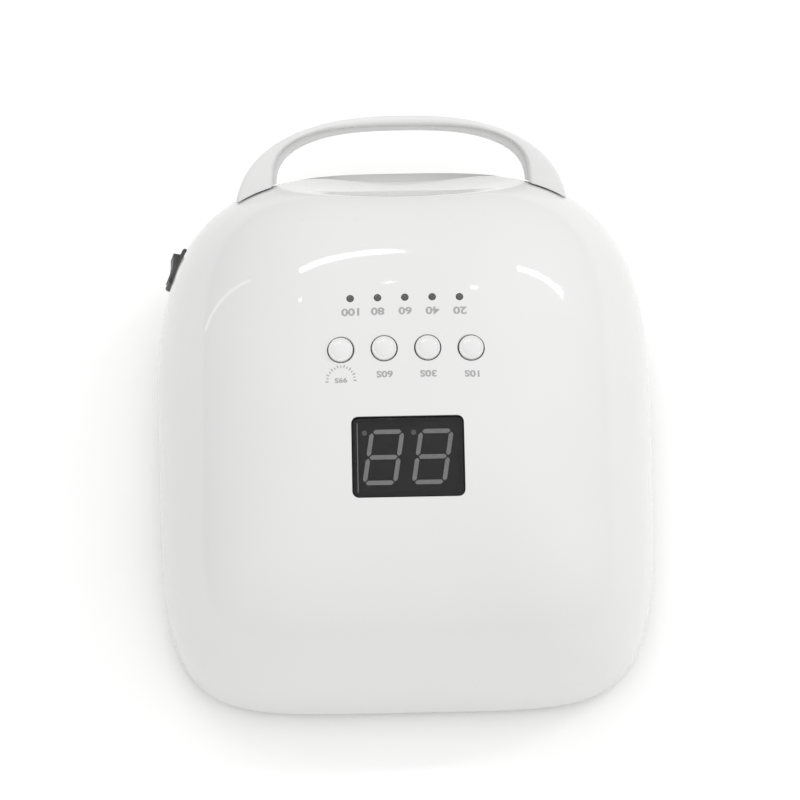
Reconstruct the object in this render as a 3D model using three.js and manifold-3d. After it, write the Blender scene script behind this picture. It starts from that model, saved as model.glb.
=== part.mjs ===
// A cordless UV LED nail lamp with a carry handle, in millimetres, +Z up.
// The hand goes in through the front, at -Y. The rounded back is at +Y, and +X is the side
// with the power switch. The origin is on the table, under the middle of the lamp's box.
// The print on the lid is read from the front, so the keys run 10, 30, 60 and 99 s from -X to +X.

import * as THREE from "three";
import { mergeVertices } from "three/addons/utils/BufferGeometryUtils.js";
import Module from "manifold-3d";

const wasm = await Module();
wasm.setup();

// ---------------------------------------------------------------- driving dimensions

const GAP = 0.3; // clearance between separate pieces
const HULL_Y = 2.975; // the hull's middle lies this far behind the origin

// The hull is a rounded box: a superellipse in plan, wider towards the front, under a
// superellipse crown that falls away towards the back.
const HULL = {
  halfWidth: 92,
  front: 99,
  rear: 98,
  frontRoundness: 3.3,
  rearRoundness: 5.2,
  widening: 0.05,
  crownRoundness: 2.7,
  height: 95,
  fall: 0.2,
};
const HULL_AROUND = 64;
const HULL_UP = 10;
const WALL = 2.6;

// Levels, from the table up
const FOOT_HEIGHT = 2;
const TRAY_TOP = 5;
const BODY_BOTTOM = TRAY_TOP + GAP;
const FRAME_TOP = 7.8;

// The finger scoop over the opening is part of an ellipsoid
const SCOOP = { y: -118.7, z: 118.9, radius: 60, halfWidth: 125 };

// The hand tunnel's section: upright sides, then faces at 45 degrees, then a flat top, with
// rounded corners between them. On a face at 45 degrees, x + z is the same all along it.
const TUNNEL = { halfWidth: 60, height: 64, diagonal: 97.5, corner: 12, floor: -20 };
const TUNNEL_CORNER_STEPS = 3;
const TUNNEL_END = 62;
const LINER_WALL = 2;
const RIM_WIDTH = 5.7;
const RIM_DEPTH = 3;

// The handle is an arch on a plane that rises towards the front
const HANDLE = {
  tilt: 28,
  y: -59.8,
  z: 70.15,
  halfWidth: 60.5,
  rise: 38.5,
  rootRise: 6,
  upperDepth: 4.6,
  depth: 12,
  legFoot: -2,
};
// Each arch is half a superellipse: half width, base, rise and roundness
const UPPER_OUTER = [HANDLE.halfWidth, HANDLE.rootRise, HANDLE.rise, 2.42];
const UPPER_INNER = [46.4, 20, 21, 3];
const LOWER_OUTER = [HANDLE.halfWidth - 1, HANDLE.rootRise, HANDLE.rise - 1, 2.42];
const LOWER_INNER = [45.4, 20, 19.8, 2.55];
const HANDLE_SCREW_X = 52.5;
const HANDLE_SCREW_DEPTH = 8.5;

// The controls on the crown
const KEYS = ["10", "30", "60", "99"];
const KEY_Y = -3.2;
const KEY_PITCH = 14.8;
const KEY_TILT = 10.8;
const KEY_RADIUS = 4.25;
const KEY_HOLE_RADIUS = 4.65;
const LAMP_COUNT = 5;
const LAMP_Y = -21.1;
const LAMP_PITCH = 9.35;
const LAMP_RADIUS = 1.05;
const BOARD_DEPTH = 10;
const BOARD_THICKNESS = 1.6;

const DISPLAY = { y: 33.1, tilt: 18.5, width: 37.4, length: 26.8, corner: 2 };
const DIGIT = { height: 19, width: 11.75, pitch: 16.6, slant: 9.2, stroke: 1.65, gap: 0.5 };
const POINT = { x: 6.3, y: -8.3, radius: 0.9 }; // the decimal point, from its digit's middle

// The power switch on the +X side, a standard miniature rocker in a 15 by 10.5 mm bezel
const SWITCH = { y: -62.5, z: 44.8, turn: 20.8, lean: 15.6, length: 15.4, width: 10.8, rock: 12 };
const SEAT_DEPTH = 1.2;
const ROCKER = { pivot: -1.4, valley: 3.1, half: 5.2, root: 5.6, belly: 3.8, width: 7 };
const SWITCH_WELL = { length: 12.4, width: 7.8, depth: 6.2 };
const SWITCH_BODY = { length: 13.6, width: 9.2, depth: 12 };

const JACK = { y: 30, z: 17, radius: 3.9 };

// Two cells lie end to end in the cradle, and the third lies on them
const CELL = { radius: 9, length: 65, y: 75.6 };
const CELL_STARTS = [[-CELL.length - 0.5, 19], [0.5, 19], [-CELL.length / 2, 37.4]];
const CRADLE_TOP = 18;

const FEET = [[62, -60], [-62, -60], [66, 70], [-66, 70]];
const MAGNETS = [[75, -42], [-75, -42], [72, 52], [-72, 52]];
const HOUSING_SCREWS = [[86, -18], [-86, -18], [81, 64], [-81, 64]];

// ---------------------------------------------------------------- materials

function plastic(color, roughness) {
  return new THREE.MeshStandardMaterial({ color, roughness, metalness: 0 });
}

function metal(color, roughness) {
  return new THREE.MeshStandardMaterial({ color, roughness, metalness: 1 });
}

const finish = {
  shell: () => plastic(0xf3f3f2, 0.18),
  handle: () => plastic(0xeeeeec, 0.32),
  liner: () => plastic(0xc9c9c8, 0.35),
  tray: () => plastic(0xededeb, 0.4),
  rubber: () => plastic(0x2b2b2b, 0.85),
  smoke: () => plastic(0x2d2d2e, 0.12),
  black: () => plastic(0x242424, 0.45),
  board: () => plastic(0x1f5a36, 0.5),
  indicator: () => plastic(0x4a4a4a, 0.25),
  led: () => plastic(0xe6e2c8, 0.2),
  steel: () => metal(0xb9bcc0, 0.35),
  cell: () => plastic(0x3c6ea8, 0.35),
};

// ---------------------------------------------------------------- solids

const lamp = new THREE.Group();
const hullGroup = new THREE.Group();
hullGroup.position.y = HULL_Y;
lamp.add(hullGroup);

function solid(geometry) {
  const bare = geometry.clone();
  bare.deleteAttribute("normal");
  bare.deleteAttribute("uv");
  const merged = mergeVertices(bare, 1e-4);
  const index = merged.index.array;
  const triangles = [];
  for (let i = 0; i < index.length; i += 3) {
    const [a, b, c] = [index[i], index[i + 1], index[i + 2]];
    if (a !== b && b !== c && c !== a) triangles.push(a, b, c);
  }
  const mesh = new wasm.Mesh({
    numProp: 3,
    vertProperties: new Float32Array(merged.attributes.position.array),
    triVerts: new Uint32Array(triangles),
  });
  return new wasm.Manifold(mesh);
}

function toGeometry(body) {
  const mesh = body.getMesh();
  const geometry = new THREE.BufferGeometry();
  geometry.setAttribute("position", new THREE.BufferAttribute(mesh.vertProperties, 3));
  geometry.setIndex(new THREE.BufferAttribute(mesh.triVerts, 1));
  geometry.computeVertexNormals();
  return geometry;
}

function addPart(name, material, body) {
  const mesh = new THREE.Mesh(toGeometry(body), material);
  mesh.name = name;
  hullGroup.add(mesh);
}

function join(bodies) {
  return bodies.reduce((sum, body) => sum.add(body));
}

function radians(degrees) {
  return (degrees * Math.PI) / 180;
}

// A frame with its own origin and axes. Every primitive below takes one, or none for the hull's.
function frameAt(origin, xAxis, yAxis, zAxis) {
  return new THREE.Matrix4().makeBasis(xAxis, yAxis, zAxis).setPosition(origin);
}

const HULL_FRAME = new THREE.Matrix4();

function box([x0, x1], [y0, y1], [z0, z1], frame = HULL_FRAME) {
  const geometry = new THREE.BoxGeometry(x1 - x0, y1 - y0, z1 - z0);
  geometry.translate((x0 + x1) / 2, (y0 + y1) / 2, (z0 + z1) / 2);
  return solid(geometry.applyMatrix4(frame));
}

// A cylinder along the frame's z, around (x, y)
function rod(radius, [z0, z1], { x = 0, y = 0, frame = HULL_FRAME, sides = 16 } = {}) {
  const geometry = new THREE.CylinderGeometry(radius, radius, z1 - z0, sides);
  geometry.rotateX(Math.PI / 2);
  geometry.translate(x, y, (z0 + z1) / 2);
  return solid(geometry.applyMatrix4(frame));
}

// A turned piece around the frame's z: points are radius and z, from axis to axis
function turned(points, { x = 0, y = 0, frame = HULL_FRAME, sides = 16 } = {}) {
  const profile = points.map(([radius, z]) => new THREE.Vector2(radius, z));
  const geometry = new THREE.LatheGeometry(profile, sides);
  geometry.rotateX(Math.PI / 2);
  geometry.translate(x, y, 0);
  return solid(geometry.applyMatrix4(frame));
}

// An outline in the frame's xy plane, raised along its z
function prism(points, [z0, z1], frame = HULL_FRAME) {
  const shape = new THREE.Shape(points.map(([x, y]) => new THREE.Vector2(x, y)));
  const geometry = new THREE.ExtrudeGeometry(shape, {
    depth: z1 - z0,
    bevelEnabled: false,
    curveSegments: 6,
  });
  geometry.translate(0, 0, z0);
  return solid(geometry.applyMatrix4(frame));
}

function roundedRectangle(width, length, corner) {
  const points = [];
  for (const [sx, sy, start] of [[1, 1, 0], [-1, 1, 90], [-1, -1, 180], [1, -1, 270]]) {
    for (const step of [0, 30, 60, 90]) {
      const angle = radians(start + step);
      const x = sx * (width / 2 - corner) + corner * Math.cos(angle);
      const y = sy * (length / 2 - corner) + corner * Math.sin(angle);
      points.push([x, y]);
    }
  }
  return points;
}

// ---------------------------------------------------------------- the hull's surface

// A point on the hull, moved in by inset: bearing goes round in plan, climb goes from the foot
// to the crown, and both are in radians.
function hullPoint(inset, bearing, climb) {
  const c = Math.cos(bearing);
  const s = Math.sin(bearing);
  const roundness = s < 0 ? HULL.frontRoundness : HULL.rearRoundness;
  const reach = (s < 0 ? HULL.front : HULL.rear) - inset;
  const side = Math.abs(c / (HULL.halfWidth - inset)) ** roundness;
  const end = Math.abs(s / reach) ** roundness;
  const radius = (side + end) ** (-1 / roundness);
  const planY = radius * s;
  const planX = radius * c * (1 - (HULL.widening * planY) / 100);
  const power = HULL.crownRoundness;
  const scale = (Math.cos(climb) ** power + Math.sin(climb) ** power) ** (-1 / power);
  const out = Math.cos(climb) * scale;
  const up = Math.sin(climb) * scale * (HULL.height - inset);
  return new THREE.Vector3(out * planX, out * planY, up * (1 - (HULL.fall * out * planY) / 100));
}

function hullSolid(inset) {
  const vertices = [0, 0, 0];
  const triangles = [];
  const at = (level, step) => 1 + level * HULL_AROUND + (step % HULL_AROUND);
  const crown = 1 + HULL_UP * HULL_AROUND;
  for (let level = 0; level < HULL_UP; level++) {
    for (let step = 0; step < HULL_AROUND; step++) {
      const bearing = (2 * Math.PI * step) / HULL_AROUND;
      const climb = (Math.PI * level) / 2 / HULL_UP;
      vertices.push(...hullPoint(inset, bearing, climb).toArray());
    }
  }
  vertices.push(0, 0, HULL.height - inset);
  for (let step = 0; step < HULL_AROUND; step++) {
    triangles.push(0, at(0, step + 1), at(0, step));
    for (let level = 0; level < HULL_UP - 1; level++) {
      const [a, b] = [at(level, step), at(level, step + 1)];
      const [c, d] = [at(level + 1, step), at(level + 1, step + 1)];
      triangles.push(a, b, d, a, d, c);
    }
    triangles.push(at(HULL_UP - 1, step), at(HULL_UP - 1, step + 1), crown);
  }
  const geometry = new THREE.BufferGeometry();
  geometry.setAttribute("position", new THREE.Float32BufferAttribute(vertices, 3));
  geometry.setIndex(triangles);
  return solid(geometry);
}

// The height of the hull's surface over a point of the plan
function hullHeight(x, y) {
  const roundness = y < 0 ? HULL.frontRoundness : HULL.rearRoundness;
  const reach = y < 0 ? HULL.front : HULL.rear;
  let out = 0.5;
  for (let pass = 0; pass < 60; pass++) {
    const widened = HULL.halfWidth * (1 - (HULL.widening * y) / out / 100);
    const side = Math.abs(x / widened) ** roundness;
    const end = Math.abs(y / reach) ** roundness;
    out = (out + (side + end) ** (1 / roundness)) / 2;
  }
  const power = HULL.crownRoundness;
  return (1 - out ** power) ** (1 / power) * HULL.height * (1 - (HULL.fall * y) / 100);
}

// How far out the hull's +X side is at a height
function hullSide(y, z) {
  let inner = 0;
  let outer = HULL.halfWidth * 1.04;
  for (let pass = 0; pass < 40; pass++) {
    const middle = (inner + outer) / 2;
    if (hullHeight(middle, y) > z) inner = middle;
    else outer = middle;
  }
  return inner;
}

// ---------------------------------------------------------------- the hand tunnel's outline

// The tunnel's section, moved out by distance, closed along the bottom
function tunnelOutline(distance) {
  const lean = TUNNEL.corner * Math.tan(Math.PI / 8);
  const low = [TUNNEL.halfWidth - TUNNEL.corner, TUNNEL.diagonal - TUNNEL.halfWidth - lean];
  const high = [TUNNEL.diagonal - TUNNEL.height - lean, TUNNEL.height - TUNNEL.corner];
  const radius = TUNNEL.corner + distance;
  const half = [[TUNNEL.halfWidth + distance, TUNNEL.floor]];
  for (const [[x, z], start] of [[low, 0], [high, 45]]) {
    for (let step = 0; step <= TUNNEL_CORNER_STEPS; step++) {
      const angle = radians(start + (45 * step) / TUNNEL_CORNER_STEPS);
      half.push([x + radius * Math.cos(angle), z + radius * Math.sin(angle)]);
    }
  }
  const mirrored = half.map(([x, z]) => [-x, z]).reverse();
  return [...half, ...mirrored];
}

// The outline raised along Y, from y0 to y1
function tunnelSolid(distance, y0, y1) {
  const along = frameAt(
    new THREE.Vector3(),
    new THREE.Vector3(1, 0, 0),
    new THREE.Vector3(0, 0, 1),
    new THREE.Vector3(0, -1, 0),
  );
  return prism(tunnelOutline(distance), [-y1, -y0], along);
}

// ---------------------------------------------------------------- frames on the hull

function tiltedFrame(x, y, tilt) {
  const angle = radians(tilt);
  return frameAt(
    new THREE.Vector3(x, y, hullHeight(x, y)),
    new THREE.Vector3(1, 0, 0),
    new THREE.Vector3(0, Math.cos(angle), -Math.sin(angle)),
    new THREE.Vector3(0, Math.sin(angle), Math.cos(angle)),
  );
}

function keyX(index) {
  return (index - (KEYS.length - 1) / 2) * KEY_PITCH;
}

function lampX(index) {
  return (index - (LAMP_COUNT - 1) / 2) * LAMP_PITCH;
}

const keyboardFrame = tiltedFrame(0, KEY_Y, KEY_TILT);
const keyFrames = KEYS.map((name, index) => tiltedFrame(keyX(index), KEY_Y, KEY_TILT));
const displayFrame = tiltedFrame(0, DISPLAY.y, DISPLAY.tilt);

// x across, y up the handle's plane towards the front, z down through its depth
const handleFrame = frameAt(
  new THREE.Vector3(0, HANDLE.y, HANDLE.z),
  new THREE.Vector3(1, 0, 0),
  new THREE.Vector3(0, -Math.cos(radians(HANDLE.tilt)), Math.sin(radians(HANDLE.tilt))),
  new THREE.Vector3(0, -Math.sin(radians(HANDLE.tilt)), -Math.cos(radians(HANDLE.tilt))),
);

// x along the switch towards the back, y up, z out of the hull
function makeSwitchFrame() {
  const turn = radians(SWITCH.turn);
  const lean = radians(SWITCH.lean);
  const out = new THREE.Vector3(
    Math.cos(lean) * Math.cos(turn),
    -Math.cos(lean) * Math.sin(turn),
    Math.sin(lean),
  );
  const along = new THREE.Vector3(Math.sin(turn), Math.cos(turn), 0);
  const up = new THREE.Vector3().crossVectors(out, along);
  const origin = new THREE.Vector3(hullSide(SWITCH.y, SWITCH.z), SWITCH.y, SWITCH.z);
  return frameAt(origin, along, up, out);
}

const switchFrame = makeSwitchFrame();

// x to the back, y up, z out of the +X side
const jackFrame = frameAt(
  new THREE.Vector3(hullSide(JACK.y, JACK.z), JACK.y, JACK.z),
  new THREE.Vector3(0, 1, 0),
  new THREE.Vector3(0, 0, 1),
  new THREE.Vector3(1, 0, 0),
);

// ---------------------------------------------------------------- shared cutters

const FAR = 130;
const hull = hullSolid(0);
const aboveTray = box([-FAR, FAR], [-FAR, FAR], [BODY_BOTTOM, FAR]);

// The mouth is the arch that the rim fills, cut only as deep as the rim
const mouth = tunnelSolid(RIM_WIDTH + GAP, -FAR, -40).subtract(hullSolid(RIM_DEPTH + GAP));
const tunnelRoom = tunnelSolid(LINER_WALL + GAP, -FAR, TUNNEL_END + LINER_WALL + GAP);

function ellipsoid(growth) {
  const geometry = new THREE.SphereGeometry(1, 24, 18);
  geometry.scale(SCOOP.halfWidth + growth, SCOOP.radius + growth, SCOOP.radius + growth);
  geometry.translate(0, SCOOP.y, SCOOP.z);
  return solid(geometry);
}

// A block in the switch's frame, from its length and width, grown all round
function switchBlock({ length, width }, growth, range) {
  const halfLength = length / 2 + growth;
  const halfWidth = width / 2 + growth;
  return box([-halfLength, halfLength], [-halfWidth, halfWidth], range, switchFrame);
}

// ---------------------------------------------------------------- outer shell

function outerShell() {
  const skin = hull.subtract(hullSolid(WALL));
  const within = hullSolid(WALL / 3);
  const scoopFloor = hull.intersect(ellipsoid(WALL));
  const screwPosts = HOUSING_SCREWS.map(([x, y]) => {
    return rod(4.5, [FRAME_TOP + GAP, 34], { x, y, sides: 12 }).intersect(within);
  });
  const handlePosts = [1, -1].map((side) => {
    const place = { x: side * HANDLE_SCREW_X, frame: handleScrewFrame(), sides: 12 };
    return rod(4.5, [-22, -4], place).intersect(within);
  });
  const screwHoles = HOUSING_SCREWS.map(([x, y]) => rod(1.8, [0, 24], { x, y, sides: 10 }));
  const handleHoles = [1, -1].map((side) => {
    return rod(1.85, [-30, 0], { x: side * HANDLE_SCREW_X, frame: handleScrewFrame(), sides: 10 });
  });
  const keyHoles = keyFrames.map((frame) => rod(KEY_HOLE_RADIUS, [-6, 6], { frame, sides: 16 }));
  const lampHoles = lampPlaces().map((place) => rod(LAMP_RADIUS + GAP, [-6, 6], place));
  const windowWidth = DISPLAY.width + 2 * GAP;
  const windowLength = DISPLAY.length + 2 * GAP;
  const window = roundedRectangle(windowWidth, windowLength, DISPLAY.corner + GAP);
  const seat = roundedRectangle(SWITCH.length + 1, SWITCH.width + 1, 2);
  const cutters = [
    ellipsoid(0),
    mouth,
    tunnelRoom,
    prism(window, [-8, 8], displayFrame),
    prism(seat, [-SEAT_DEPTH, 12], switchFrame),
    switchBlock(SWITCH_BODY, GAP, [-SWITCH_BODY.depth, SWITCH_BODY.depth]),
    rod(JACK.radius + GAP, [-12, 12], { frame: jackFrame, sides: 20 }),
    ...screwHoles,
    ...handleHoles,
    ...keyHoles,
    ...lampHoles,
  ];
  const whole = join([skin, scoopFloor, ...screwPosts, ...handlePosts]);
  return whole.subtract(join(cutters)).intersect(aboveTray);
}

// x across and z down the handle's plane, through the middle of its lower half
function handleScrewFrame() {
  const turnOver = new THREE.Matrix4().makeRotationX(Math.PI / 2);
  turnOver.setPosition(0, 0, HANDLE_SCREW_DEPTH);
  return handleFrame.clone().multiply(turnOver);
}

function lampPlaces() {
  const places = [];
  for (let index = 0; index < LAMP_COUNT; index++) {
    const frame = tiltedFrame(lampX(index), LAMP_Y, KEY_TILT);
    places.push({ frame, sides: 14 });
  }
  return places;
}

addPart("outer_shell", finish.shell(), outerShell());

// ---------------------------------------------------------------- hand tunnel and its LED boards

// Where the boards lie: the middle of each face of the section, the way it faces, and the rows
const LED_BOARDS = [
  { name: "led_board_top", x: 0, z: 64, facing: 90, across: [-15, 0, 15], width: 44 },
  { name: "led_board_right", x: 47.75, z: 49.75, facing: 45, across: [0], width: 16 },
  { name: "led_board_left", x: -47.75, z: 49.75, facing: 135, across: [0], width: 16 },
  { name: "led_board_low_right", x: 60, z: 19.5, facing: 0, across: [0], width: 14 },
  { name: "led_board_low_left", x: -60, z: 19.5, facing: 180, across: [0], width: 14 },
];
const LED_ROWS = [-38, -10, 18, 46];
const LED_RADIUS = 2.5;
const LED_BOARD_GAP = 0.8;

// x along the tunnel, y across the face, z out through the liner
function boardFrame({ x, z, facing }) {
  const angle = radians(facing);
  return frameAt(
    new THREE.Vector3(x, 0, z),
    new THREE.Vector3(0, 1, 0),
    new THREE.Vector3(-Math.sin(angle), 0, Math.cos(angle)),
    new THREE.Vector3(Math.cos(angle), 0, Math.sin(angle)),
  );
}

function ledSpots(board) {
  return LED_ROWS.flatMap((row) => board.across.map((across) => ({ x: row, y: across })));
}

function ledBoard(board) {
  const frame = boardFrame(board);
  const bottom = LINER_WALL + LED_BOARD_GAP;
  const top = bottom + BOARD_THICKNESS;
  const plate = box([-47, 55], [-board.width / 2, board.width / 2], [bottom, top], frame);
  const beads = ledSpots(board).map(({ x, y }) => {
    const dome = [[0, -1.4], [1.6, -1], [LED_RADIUS, 0], [LED_RADIUS, bottom + 0.2], [0, bottom + 0.2]];
    return turned(dome, { x, y, frame, sides: 8 });
  });
  return join([plate, ...beads]);
}

const SENSOR = { y: -62, radius: 1.7 };

function innerLiner() {
  const tube = tunnelSolid(LINER_WALL, -FAR, TUNNEL_END + LINER_WALL);
  const rim = tunnelSolid(RIM_WIDTH, -FAR, -40).subtract(hullSolid(RIM_DEPTH));
  const beadHoles = LED_BOARDS.flatMap((board) => {
    const frame = boardFrame(board);
    return ledSpots(board).map(({ x, y }) => {
      return rod(LED_RADIUS + GAP, [-2, 4], { x, y, frame, sides: 8 });
    });
  });
  const sensorHole = rod(SENSOR.radius + GAP, [60, 70], { y: SENSOR.y, sides: 12 });
  const hollow = tunnelSolid(0, -FAR, TUNNEL_END);
  const whole = tube.add(rim).intersect(hull).intersect(aboveTray);
  return whole.subtract(join([hollow, sensorHole, ...beadHoles]));
}

addPart("inner_liner", finish.liner(), innerLiner());
for (const board of LED_BOARDS) addPart(board.name, finish.led(), ledBoard(board));

function handSensor() {
  const housing = box([-5, 5], [SENSOR.y - 3, SENSOR.y + 3], [66.4, 71]);
  const eye = turned([[0, 63], [1.2, 63.3], [SENSOR.radius, 64], [SENSOR.radius, 67], [0, 67]], {
    y: SENSOR.y,
    sides: 12,
  });
  return housing.add(eye);
}

addPart("hand_sensor", finish.black(), handSensor());

// ---------------------------------------------------------------- bottom frame and tray

function bottomFrame() {
  const slab = box([-FAR, FAR], [-FAR, FAR], [BODY_BOTTOM, FRAME_TOP]);
  const plate = hullSolid(WALL + GAP).intersect(slab);
  const holes = HOUSING_SCREWS.flatMap(([x, y]) => [
    rod(1.8, [0, 12], { x, y, sides: 10 }),
    rod(3.1, [0, BODY_BOTTOM + 1.5], { x, y, sides: 14 }),
  ]);
  const pockets = MAGNETS.map(([x, y]) => rod(4.3, [BODY_BOTTOM + 0.6, 12], { x, y, sides: 12 }));
  return plate.subtract(join([mouth, tunnelRoom, ...holes, ...pockets]));
}

function baseTray() {
  const plate = hullSolid(1.5).intersect(box([-FAR, FAR], [-FAR, FAR], [FOOT_HEIGHT, TRAY_TOP]));
  const footPockets = FEET.map(([x, y]) => rod(8.3, [0, FOOT_HEIGHT + 1], { x, y, sides: 16 }));
  const magnetPockets = MAGNETS.map(([x, y]) => rod(4.3, [3, 12], { x, y, sides: 12 }));
  return plate.subtract(join([...footPockets, ...magnetPockets]));
}

addPart("bottom_frame", finish.tray(), bottomFrame());
addPart("base_tray", finish.tray(), baseTray());
FEET.forEach(([x, y], index) => {
  const top = FOOT_HEIGHT + 0.7;
  const outline = [[0, 0], [7, 0], [8, 0.8], [8, top], [0, top]];
  addPart(`tray_foot_${index + 1}`, finish.rubber(), turned(outline, { x, y, sides: 16 }));
});
MAGNETS.forEach(([x, y], index) => {
  addPart(`tray_magnet_${index + 1}`, finish.steel(), rod(4, [3.3, 4.8], { x, y, sides: 12 }));
  addPart(`frame_magnet_${index + 1}`, finish.steel(), rod(4, [6.2, 7.7], { x, y, sides: 12 }));
});
HOUSING_SCREWS.forEach(([x, y], index) => {
  const outline = [[0, 5.4], [2.8, 5.4], [2.8, 6.5], [1.5, 6.5], [1.5, 20], [0, 21]];
  addPart(`housing_screw_${index + 1}`, finish.steel(), turned(outline, { x, y, sides: 12 }));
});

// ---------------------------------------------------------------- handle

// Points along half a superellipse, from +x over the top to -x
function archPoints(halfWidth, base, rise, power, steps) {
  const points = [];
  for (let step = 0; step <= steps; step++) {
    const angle = (Math.PI * step) / steps;
    const c = Math.cos(angle);
    const x = Math.sign(c) * halfWidth * Math.abs(c) ** (2 / power);
    const y = base + rise * Math.abs(Math.sin(angle)) ** (2 / power);
    points.push([x, y]);
  }
  return points;
}

function handleHalf(outerArch, innerArch, depth) {
  const outer = archPoints(...outerArch, 28);
  const inner = archPoints(...innerArch, 24).reverse();
  const outline = [
    [outer[0][0], HANDLE.legFoot],
    ...outer,
    [outer[outer.length - 1][0], HANDLE.legFoot],
    [inner[0][0], HANDLE.legFoot],
    ...inner,
    [inner[inner.length - 1][0], HANDLE.legFoot],
  ];
  return prism(outline, depth, handleFrame).subtract(hullSolid(-GAP));
}

addPart("handle_upper", finish.handle(), handleHalf(UPPER_OUTER, UPPER_INNER, [0, HANDLE.upperDepth]));

function handleLower() {
  const holes = [1, -1].map((side) => {
    return rod(1.85, [-26, 0], { x: side * HANDLE_SCREW_X, frame: handleScrewFrame(), sides: 10 });
  });
  const half = handleHalf(LOWER_OUTER, LOWER_INNER, [HANDLE.upperDepth + GAP, HANDLE.depth]);
  return half.subtract(join(holes));
}

addPart("handle_lower", finish.handle(), handleLower());
[1, -1].forEach((side, index) => {
  const outline = [[0, -25], [1.5, -24], [1.5, -3.7], [3, -3.7], [3, -1.4], [0, -1.4]];
  const place = { x: side * HANDLE_SCREW_X, frame: handleScrewFrame(), sides: 12 };
  addPart(`handle_screw_${index + 1}`, finish.steel(), turned(outline, place));
});

// ---------------------------------------------------------------- display

function displayLens() {
  const outline = roundedRectangle(DISPLAY.width, DISPLAY.length, DISPLAY.corner);
  const column = prism(outline, [-8, 8], displayFrame);
  return column.intersect(hullSolid(0.15)).subtract(hullSolid(2));
}

// How deep the module's face and the strokes on it lie
const MODULE_TOP = -3.4;
const STROKE_DEPTH = [MODULE_TOP - 0.1, MODULE_TOP + 0.3];

// The seven strokes of a digit, as centre x, centre y, whether upright, in a unit cell
const STROKES = [
  [0, 1, false],
  [0, 0, false],
  [0, -1, false],
  [-1, 0.5, true],
  [1, 0.5, true],
  [-1, -0.5, true],
  [1, -0.5, true],
];

// The digits are read from the front, so their tops are towards the back and lean to +X
function displayModule() {
  const parts = [box([-17, 17], [-12, 12], [-9.7, MODULE_TOP], displayFrame)];
  const lean = Math.tan(radians(DIGIT.slant));
  const halfWidth = (DIGIT.width - DIGIT.stroke) / 2;
  const halfHeight = (DIGIT.height - DIGIT.stroke) / 2;
  for (const middle of [-DIGIT.pitch / 2, DIGIT.pitch / 2]) {
    for (const [across, along, upright] of STROKES) {
      const y = along * halfHeight;
      const x = middle + across * halfWidth + y * lean;
      const length = (upright ? halfHeight : 2 * halfWidth) - DIGIT.stroke - DIGIT.gap;
      const [width, height] = upright ? [DIGIT.stroke, length] : [length, DIGIT.stroke];
      const xRange = [x - width / 2, x + width / 2];
      const yRange = [y - height / 2, y + height / 2];
      parts.push(box(xRange, yRange, STROKE_DEPTH, displayFrame));
    }
    const place = { x: middle + POINT.x, y: POINT.y, frame: displayFrame, sides: 10 };
    parts.push(rod(POINT.radius, STROKE_DEPTH, place));
  }
  return join(parts);
}

addPart("display_lens", finish.smoke(), displayLens());
addPart("display_module", finish.black(), displayModule());
addPart(
  "display_board",
  finish.board(),
  box([-26, 26], [-16, 18], [-BOARD_DEPTH - BOARD_THICKNESS, -BOARD_DEPTH], displayFrame),
);

// ---------------------------------------------------------------- keys and battery indicator

addPart(
  "key_board",
  finish.board(),
  box([-34, 34], [-27, 8], [-BOARD_DEPTH - BOARD_THICKNESS - 1, -BOARD_DEPTH - 1], keyboardFrame),
);
KEYS.forEach((name, index) => {
  const frame = keyFrames[index];
  const cap = [
    [0, -5],
    [1.5, -5],
    [1.5, -4.4],
    [5.1, -4.4],
    [5.1, -3.7],
    [KEY_RADIUS, -3.7],
    [KEY_RADIUS, 0.35],
    [KEY_RADIUS - 0.3, 0.7],
    [KEY_RADIUS - 0.9, 0.75],
    [KEY_RADIUS - 1.3, 0.6],
    [1.6, 0.9],
    [0, 1],
  ];
  addPart(`key_cap_${name}`, finish.shell(), turned(cap, { frame, sides: 16 }));
  const plunger = [[0, -7.8], [1.5, -7.8], [1.5, -5.5], [1.3, -5.3], [0, -5.3]];
  addPart(`key_plunger_${name}`, finish.black(), turned(plunger, { frame, sides: 10 }));
  const can = box([-3, 3], [-3, 3], [-9.9, -6.3], frame);
  const bore = rod(1.9, [-8.6, 0], { frame, sides: 12 });
  addPart(`tact_switch_${name}`, finish.black(), can.subtract(bore));
});
lampPlaces().forEach((place, index) => {
  const outline = [[0, -9.7], [LAMP_RADIUS, -9.7], [LAMP_RADIUS, -0.6], [0.8, -0.25], [0, -0.1]];
  addPart(`battery_lamp_${index + 1}`, finish.indicator(), turned(outline, place));
});

// ---------------------------------------------------------------- power switch

function rockerHousing() {
  const outline = roundedRectangle(SWITCH.length, SWITCH.width, 1.3);
  const flange = prism(outline, [-SEAT_DEPTH + GAP, 1.1], switchFrame);
  const body = switchBlock(SWITCH_BODY, 0, [-SWITCH_BODY.depth, 0]);
  return flange.add(body).subtract(switchBlock(SWITCH_WELL, 0, [-SWITCH_WELL.depth, 5]));
}

// Built rocked to the back, which leaves its front end standing up
function rocker() {
  const slope = Math.tan(radians(SWITCH.rock));
  const rim = ROCKER.valley + ROCKER.half * slope;
  const outline = [[0, ROCKER.valley], [-ROCKER.half, rim], [-ROCKER.root, -0.8]];
  for (let angle = 200; angle <= 340; angle += 20) {
    const x = ROCKER.belly * Math.cos(radians(angle));
    const y = ROCKER.belly * Math.sin(radians(angle));
    outline.push([x, y]);
  }
  outline.push([ROCKER.root, -0.8], [ROCKER.half, rim]);
  // outline x runs along the switch and outline y out of it
  const onEdge = new THREE.Matrix4().makeRotationX(Math.PI / 2);
  const rocked = new THREE.Matrix4().makeRotationZ(radians(-SWITCH.rock));
  const place = switchFrame.clone();
  place.multiply(new THREE.Matrix4().makeTranslation(0, 0, ROCKER.pivot));
  place.multiply(onEdge);
  place.multiply(rocked);
  return prism(outline, [-ROCKER.width / 2, ROCKER.width / 2], place);
}

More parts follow.
